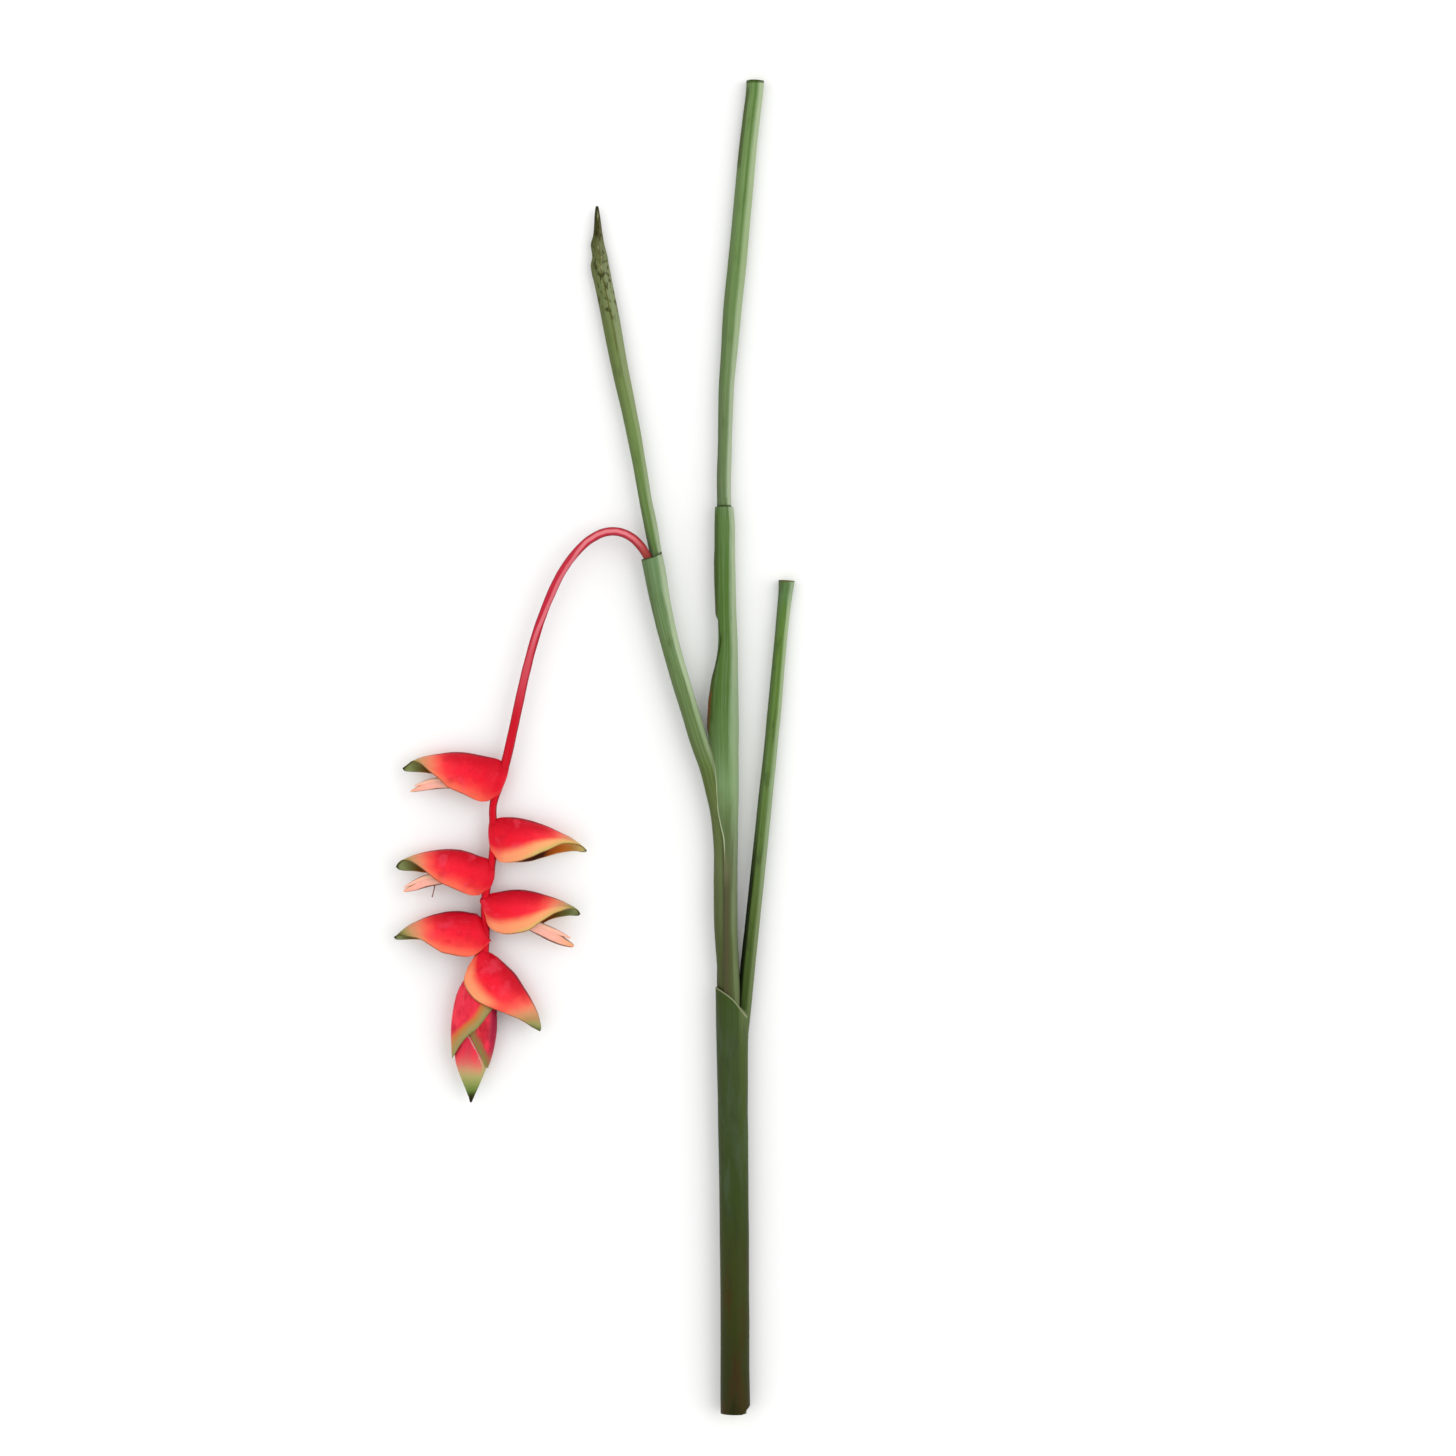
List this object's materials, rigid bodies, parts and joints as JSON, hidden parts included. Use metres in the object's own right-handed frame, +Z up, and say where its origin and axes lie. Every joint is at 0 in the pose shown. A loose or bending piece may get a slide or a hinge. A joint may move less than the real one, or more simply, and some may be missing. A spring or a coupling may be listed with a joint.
{
  "type": "heliconia flower stem",
  "caption": "Cut stem of a hanging heliconia lying flat: stem of rolled leaf sheaths with cut leaf stalks, and an arching red flower stalk with boat-shaped bracts.",
  "frame": {"origin": "centre of the underside of the bounding box, on the surface that the stem lies on", "axes": "+Y along the stem from its cut butt to the tallest leaf stalk, +Z up from the surface, the flower hangs to the -X side"},
  "size_m": [0.3311, 1.102, 0.0263],
  "materials": {
    "outer_leaf": "satin",
    "middle_leaf": "satin",
    "flag_leaf": "satin",
    "flower_stalk": "satin",
    "bract": "satin",
    "flower": "satin",
    "bud": "satin"
  },
  "bodies": {
    "root": {"outer_leaf": "outer_leaf", "middle_leaf": "middle_leaf", "flag_leaf": "flag_leaf", "flower_stalk": "flower_stalk", "bract_1": "bract", "bract_2": "bract", "bract_3": "bract", "bract_4": "bract", "bract_5": "bract", "bract_6": "bract", "flower_1": "flower", "flower_3": "flower", "flower_4": "flower", "bud_bract_outer": "bud", "bud_bract_inner": "bud", "bud_tip": "bud"}
  },
  "joints": []
}
